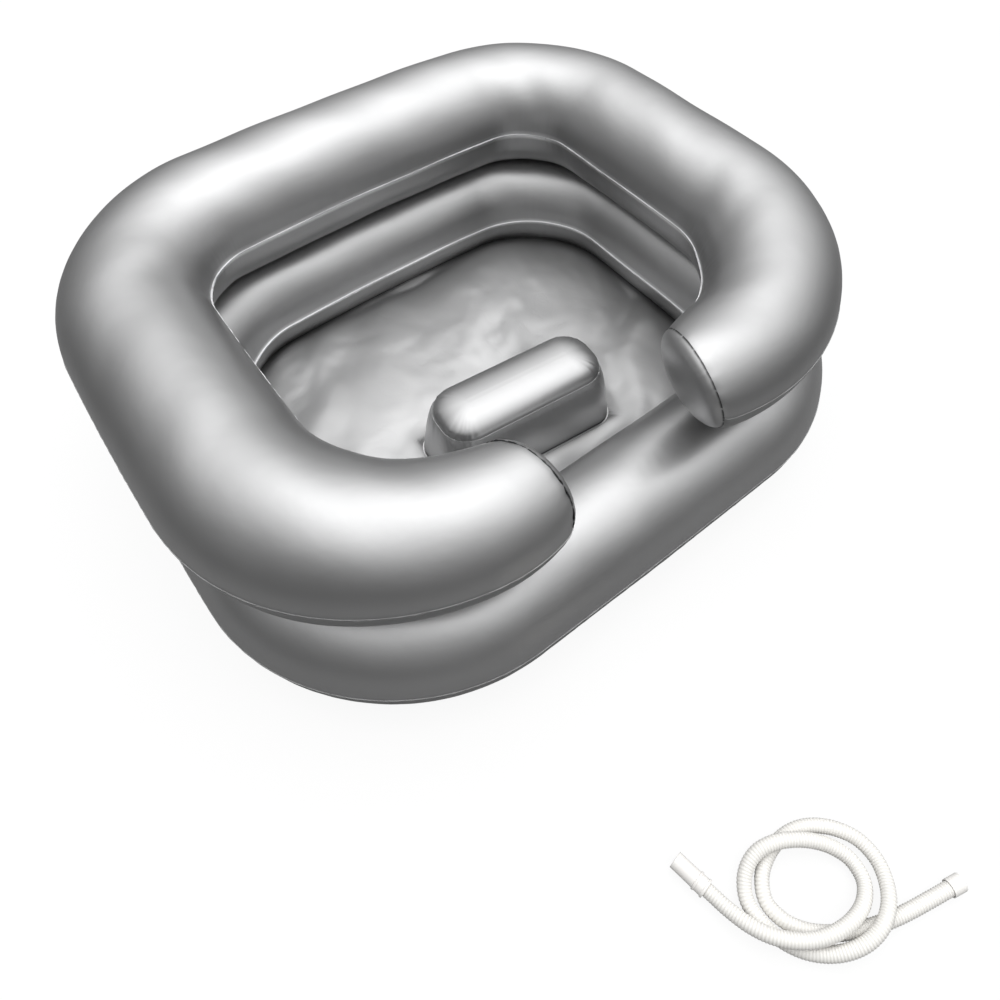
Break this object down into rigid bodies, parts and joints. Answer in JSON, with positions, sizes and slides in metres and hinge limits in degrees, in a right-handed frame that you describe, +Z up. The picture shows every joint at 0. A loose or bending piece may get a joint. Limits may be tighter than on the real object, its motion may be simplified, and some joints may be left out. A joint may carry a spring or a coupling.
{
  "type": "portable shampoo basin",
  "caption": "Inflatable basin of two stacked air rings with a neck gap in the upper one, an air headrest, a film floor with a drain stopper, valves, and a loose ribbed drain hose.",
  "frame": {"origin": "middle of the basin's footprint on the ground, the loose hose left out", "axes": "+X to the right along the front, -Y to the front where the neck gap is, +Z up"},
  "size_m": [0.614, 0.8096, 0.2097],
  "materials": {
    "ring_film": "satin silver-grey vinyl film",
    "floor_film": "satin light grey vinyl film",
    "valve_plastic": "soft grey moulded vinyl",
    "plug_plastic": "soft grey moulded vinyl",
    "hose_plastic": "off-white corrugated plastic",
    "cuff_plastic": "off-white moulded plastic"
  },
  "bodies": {
    "basin": {"upper_ring_top_film": "ring_film", "upper_ring_bottom_film": "ring_film", "upper_ring_right_end": "ring_film", "upper_ring_left_end": "ring_film", "lower_ring_top_film": "ring_film", "lower_ring_bottom_film": "ring_film", "headrest_top_film": "ring_film", "headrest_side_band": "ring_film", "floor_film": "floor_film", "upper_valve_body": "valve_plastic", "lower_valve_body": "valve_plastic", "headrest_valve_body": "valve_plastic", "drain_body": "valve_plastic", "drain_strap": "plug_plastic", "hose_tube": "hose_plastic", "hose_cuff": "cuff_plastic", "hose_end_cuff": "cuff_plastic"},
    "upper_valve_sliding_stem": {"upper_valve_stem": "valve_plastic", "upper_valve_strap": "valve_plastic"},
    "upper_valve_pull_plug": {"upper_valve_plug": "plug_plastic"},
    "upper_valve_return_flap": {"upper_valve_flap": "valve_plastic"},
    "lower_valve_sliding_stem": {"lower_valve_stem": "valve_plastic", "lower_valve_strap": "valve_plastic"},
    "lower_valve_pull_plug": {"lower_valve_plug": "plug_plastic"},
    "lower_valve_return_flap": {"lower_valve_flap": "valve_plastic"},
    "headrest_valve_sliding_stem": {"headrest_valve_stem": "valve_plastic", "headrest_valve_strap": "valve_plastic"},
    "headrest_valve_pull_plug": {"headrest_valve_plug": "plug_plastic"},
    "headrest_valve_return_flap": {"headrest_valve_flap": "valve_plastic"},
    "lift_stopper": {"drain_stopper": "plug_plastic"}
  },
  "joints": [
    {"name": "upper_valve_stem_slide", "type": "slide", "parent": "basin", "child": "upper_valve_sliding_stem", "axis": [0, 0.8661, 0.4999], "range_m": [0, 0.0075]},
    {"name": "upper_valve_plug_pull", "type": "slide", "parent": "upper_valve_sliding_stem", "child": "upper_valve_pull_plug", "axis": [0, 0.8661, 0.4999], "range_m": [0, 0.01]},
    {"name": "upper_valve_flap_hinge", "type": "hinge", "parent": "upper_valve_sliding_stem", "child": "upper_valve_return_flap", "pos_m": [-0.0181, 0.24455, 0.17461], "axis": [0, -0.4999, 0.8661], "range_deg": [0, 35], "stiffness_Nm_per_rad": 0.0001, "springref_deg": -17.19},
    {"name": "lower_valve_stem_slide", "type": "slide", "parent": "basin", "child": "lower_valve_sliding_stem", "axis": [0, 0.848, 0.5299], "range_m": [0, 0.0075]},
    {"name": "lower_valve_plug_pull", "type": "slide", "parent": "lower_valve_sliding_stem", "child": "lower_valve_pull_plug", "axis": [0, 0.848, 0.5299], "range_m": [0, 0.01]},
    {"name": "lower_valve_flap_hinge", "type": "hinge", "parent": "lower_valve_sliding_stem", "child": "lower_valve_return_flap", "pos_m": [0.0259, 0.22262, 0.07227], "axis": [0, -0.5299, 0.848], "range_deg": [0, 35], "stiffness_Nm_per_rad": 0.0001, "springref_deg": -17.19},
    {"name": "headrest_valve_stem_slide", "type": "slide", "parent": "basin", "child": "headrest_valve_sliding_stem", "axis": [0.0958, 0.9954, 0], "range_m": [0, 0.0075]},
    {"name": "headrest_valve_plug_pull", "type": "slide", "parent": "headrest_valve_sliding_stem", "child": "headrest_valve_pull_plug", "axis": [0.0958, 0.9954, 0], "range_m": [0, 0.01]},
    {"name": "headrest_valve_flap_hinge", "type": "hinge", "parent": "headrest_valve_sliding_stem", "child": "headrest_valve_return_flap", "pos_m": [0.00263, -0.05448, 0.03339], "axis": [0, 0, 1], "range_deg": [0, 35], "stiffness_Nm_per_rad": 0.0001, "springref_deg": -17.19},
    {"name": "drain_stopper_lift", "type": "slide", "parent": "basin", "child": "lift_stopper", "axis": [0, 0, 1], "range_m": [0, 0.03]}
  ]
}
